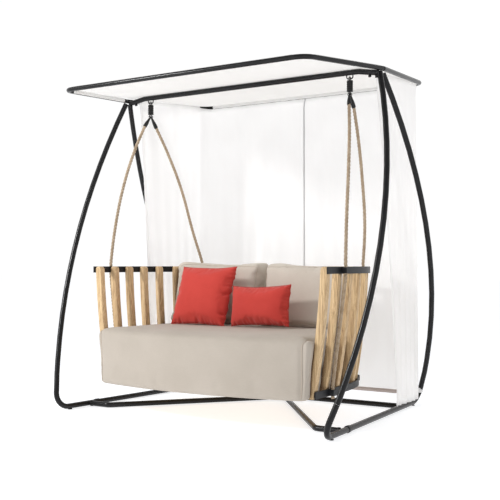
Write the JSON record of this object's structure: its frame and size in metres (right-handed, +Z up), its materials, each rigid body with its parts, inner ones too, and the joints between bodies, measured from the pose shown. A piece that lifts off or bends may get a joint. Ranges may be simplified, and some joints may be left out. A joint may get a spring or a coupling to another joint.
{
  "type": "canopy swing bench",
  "caption": "Outdoor swing bench: bowed steel A-frame with sloping cloth canopy and curtains, and a rope-hung, slatted, cushioned bench.",
  "frame": {"origin": "on the floor, at the middle of the whole footprint's bounding box (the top beam runs 49.8 mm in front of it)", "axes": "+Z up, +X along the top beam, -Y is the open front that the bench faces"},
  "size_m": [2.3466, 1.6224, 2.2051],
  "materials": {
    "frame_steel": "satin black powder coat",
    "band_steel": "satin black powder coat on flat bar",
    "foot_rubber": "matt",
    "hook_steel": "black coated wire",
    "swivel_metal": "matt black ribbed",
    "rope_end_sleeve": "matt black shrink sleeve",
    "twisted_rope": "three-strand twisted natural rope",
    "teak_slats": "oiled teak, fine straight grain",
    "teak_platform": "plain teak",
    "seat_fabric": "beige woven fabric with piping",
    "back_fabric": "beige woven fabric",
    "red_fabric": "red woven fabric",
    "roof_fabric": "white tensioned cloth",
    "curtain_fabric": "white soft cloth"
  },
  "bodies": {
    "frame": {"front_leg_left": "frame_steel", "front_leg_right": "frame_steel", "rear_leg_left": "frame_steel", "rear_leg_right": "frame_steel", "floor_rail_left": "frame_steel", "floor_rail_right": "frame_steel", "front_v_stretcher": "frame_steel", "rear_cross_tube": "frame_steel", "top_beam": "frame_steel", "canopy_front_hoop": "frame_steel", "canopy_rear_hoop": "frame_steel", "foot_front_left": "foot_rubber", "foot_front_right": "foot_rubber", "foot_rear_left": "foot_rubber", "foot_rear_right": "foot_rubber", "beam_hook_left": "hook_steel", "beam_hook_right": "hook_steel", "roof_cloth_front": "roof_fabric", "roof_cloth_rear": "roof_fabric", "curtain_left": "curtain_fabric", "curtain_right": "curtain_fabric"},
    "swing": {"swivel_left": "swivel_metal", "swivel_right": "swivel_metal", "rope_end_front_left": "rope_end_sleeve", "rope_end_front_right": "rope_end_sleeve", "rope_end_rear_left": "rope_end_sleeve", "rope_end_rear_right": "rope_end_sleeve", "rope_front_left": "twisted_rope", "rope_front_right": "twisted_rope", "rope_rear_left": "twisted_rope", "rope_rear_right": "twisted_rope", "top_band": "band_steel", "bottom_band": "band_steel", "slat_01": "teak_slats", "slat_02": "teak_slats", "slat_03": "teak_slats", "slat_04": "teak_slats", "slat_05": "teak_slats", "slat_06": "teak_slats", "slat_07": "teak_slats", "slat_08": "teak_slats", "slat_09": "teak_slats", "slats_10_11": "teak_slats", "slat_12": "teak_slats", "slats_13_14": "teak_slats", "slat_15": "teak_slats", "slat_16": "teak_slats", "slat_17": "teak_slats", "slat_18": "teak_slats", "slat_19": "teak_slats", "slat_20": "teak_slats", "slat_21": "teak_slats", "slat_22": "teak_slats", "slat_23": "teak_slats", "seat_platform": "teak_platform", "seat_cushion": "seat_fabric", "back_cushion_left": "back_fabric", "back_cushion_right": "back_fabric", "red_square_cushion": "red_fabric", "red_long_cushion": "red_fabric"}
  },
  "joints": [
    {"name": "swing_hinge", "type": "hinge", "parent": "frame", "child": "swing", "pos_m": [0, -0.0498, 2.092], "axis": [1, 0, 0], "range_deg": [-14, 6]}
  ]
}
